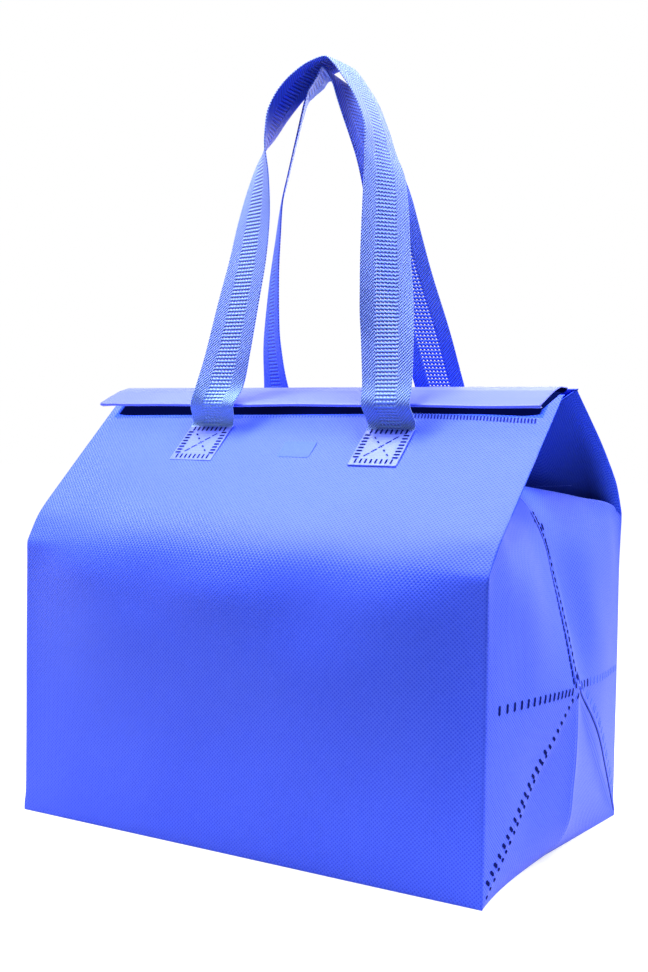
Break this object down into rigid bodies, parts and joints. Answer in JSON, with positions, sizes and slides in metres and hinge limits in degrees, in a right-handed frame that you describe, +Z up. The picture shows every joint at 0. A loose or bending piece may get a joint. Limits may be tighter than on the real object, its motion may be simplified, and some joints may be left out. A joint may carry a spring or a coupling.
{
  "type": "non-woven bag",
  "caption": "Boxy welded fabric carry bag with a roof-shaped top, tucked-in gusset sides, a fold-over flap along the ridge and long strap handles held up at one apex.",
  "frame": {"origin": "centre of the base, on the surface that the bag stands on", "axes": "+Z up towards the handles, -Y out of the front panel, X along the ridge"},
  "size_m": [0.376, 0.222, 0.5224],
  "materials": {
    "laminated_nonwoven": "satin laminated non-woven with a fine embossed dot grid",
    "strap_nonwoven": "satin strap with diagonal weave at its sides and an open net along its middle",
    "closure_pad": "matt hook-and-loop tape"
  },
  "bodies": {
    "root": {"bag_body": "laminated_nonwoven", "top_flap": "laminated_nonwoven", "front_handle": "strap_nonwoven", "back_handle": "strap_nonwoven", "loop_pad": "closure_pad", "hook_pad": "closure_pad"}
  },
  "joints": []
}
